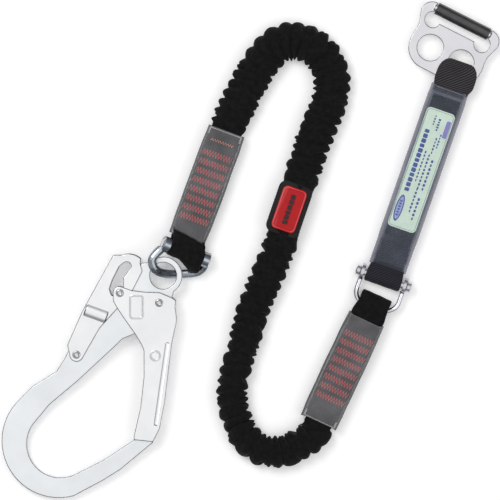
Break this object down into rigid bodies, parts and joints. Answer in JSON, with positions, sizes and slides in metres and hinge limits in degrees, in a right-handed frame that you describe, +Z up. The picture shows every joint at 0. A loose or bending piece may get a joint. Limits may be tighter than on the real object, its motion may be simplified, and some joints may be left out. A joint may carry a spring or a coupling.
{
  "type": "shock absorbing lanyard",
  "caption": "Fall-arrest lanyard laid in an S: scaffold hook with gate and squeeze lever, gathered elastic strap, tear-webbing shock absorber and belt plate with roller.",
  "frame": {"origin": "centre of the laid-out lanyard's bounding box, on the surface it lies on", "axes": "+Z up from the surface, +Y towards the belt plate's end, +X from the hook's side towards the shock absorber's side"},
  "size_m": [0.4471, 0.4459, 0.0283],
  "materials": {
    "forged_steel": "satin zinc-plated forging",
    "gate_steel": "bright zinc-plated pressing",
    "lever_steel": "bright zinc-plated pressing",
    "rivet_steel": "polished domed rivet",
    "washer_steel": "plain zinc",
    "spring_steel": "oiled spring wire",
    "shackle_zinc": "dull grey-blue zinc",
    "shackle_pin_zinc": "peened pin",
    "bright_shackle": "polished steel",
    "black_webbing": "woven polyester",
    "red_thread": "zigzag bar tacking",
    "clear_cover": "clear flexible vinyl",
    "black_sleeve": "gathered tubular webbing",
    "elastic_rubber": "elastic core",
    "label_backing": "black rubberised patch",
    "red_label": "printed label",
    "pack_webbing": "folded tear webbing",
    "smoke_cover": "smoky heat-shrunk vinyl",
    "green_label": "pale green printed label",
    "plate_steel": "bright stamped plate",
    "black_roller": "gloss black roller"
  },
  "bodies": {
    "lanyard": {"hook_end_loop": "black_webbing", "hook_end_stitching": "red_thread", "hook_end_cover": "clear_cover", "elastic_sleeve": "black_sleeve", "elastic_core": "elastic_rubber", "label_backing": "label_backing", "label_plate": "red_label", "absorber_end_loop": "black_webbing", "absorber_end_stitching": "red_thread", "absorber_end_cover": "clear_cover"},
    "hook_shackle": {"hook_shackle_bow": "shackle_zinc", "hook_shackle_pin": "shackle_pin_zinc"},
    "hook": {"hook_body": "forged_steel", "gate_washers": "washer_steel", "gate_spring": "spring_steel", "gate_pivot_rivet": "rivet_steel", "lever_pivot_rivet": "rivet_steel"},
    "gate": {"hook_gate": "gate_steel", "gate_guide_rivet": "rivet_steel"},
    "safety_lever": {"safety_lever": "lever_steel", "lever_spring": "spring_steel"},
    "absorber_shackle": {"absorber_shackle_bow": "bright_shackle", "absorber_shackle_pin": "bright_shackle"},
    "absorber": {"absorber_lower_loop": "black_webbing", "absorber_upper_loop": "black_webbing", "tear_webbing": "pack_webbing", "absorber_cover": "smoke_cover", "absorber_label": "green_label"},
    "belt_plate": {"belt_plate": "plate_steel"},
    "roller": {"roller_sleeve": "black_roller"}
  },
  "joints": [
    {"name": "hook_shackle_swing", "type": "hinge", "parent": "lanyard", "child": "hook_shackle", "pos_m": [-0.0575, -0.0015, 0.0145], "axis": [0.8849, -0.3486, -0.309], "range_deg": [-50, 50]},
    {"name": "hook_swing", "type": "hinge", "parent": "hook_shackle", "child": "hook", "pos_m": [-0.0773, -0.0227, 0.013], "axis": [-0.0224, -0.0354, 0.9991], "range_deg": [-30, 20]},
    {"name": "gate_swing", "type": "hinge", "parent": "hook", "child": "gate", "pos_m": [-0.08079, -0.04678, 0.01207], "axis": [0.0224, 0.0354, -0.9991], "range_deg": [0, 28], "stiffness_Nm_per_rad": 0.15, "springref_deg": -28.65, "deforming": ["gate_spring"]},
    {"name": "lever_squeeze", "type": "hinge", "parent": "hook", "child": "safety_lever", "pos_m": [-0.15505, -0.09342, 0.00875], "axis": [0.0224, 0.0354, -0.9991], "range_deg": [0, 5.6], "stiffness_Nm_per_rad": 0.15, "springref_deg": -17.19, "deforming": ["lever_spring"]},
    {"name": "absorber_shackle_swing", "type": "hinge", "parent": "lanyard", "child": "absorber_shackle", "pos_m": [0.11158, -0.05088, 0.0076], "axis": [0.9438, -0.3305, 0], "range_deg": [-60, 60]},
    {"name": "absorber_swing", "type": "hinge", "parent": "absorber_shackle", "child": "absorber", "pos_m": [0.1205, -0.0254, 0.0076], "axis": [0.9438, -0.3305, 0], "range_deg": [-60, 60]},
    {"name": "belt_plate_swing", "type": "hinge", "parent": "absorber", "child": "belt_plate", "pos_m": [0.18987, 0.16815, 0.0076], "axis": [0, 0, 1], "range_deg": [-25, 20]},
    {"name": "roller_spin", "type": "hinge", "parent": "belt_plate", "child": "roller", "pos_m": [0.1917, 0.20568, 0.0076], "axis": [0.8918, -0.4524, 0], "continuous": true}
  ],
  "couplings": [
    {"joint": "lever_squeeze", "follows": "gate_swing", "ratio": 0.2}
  ]
}
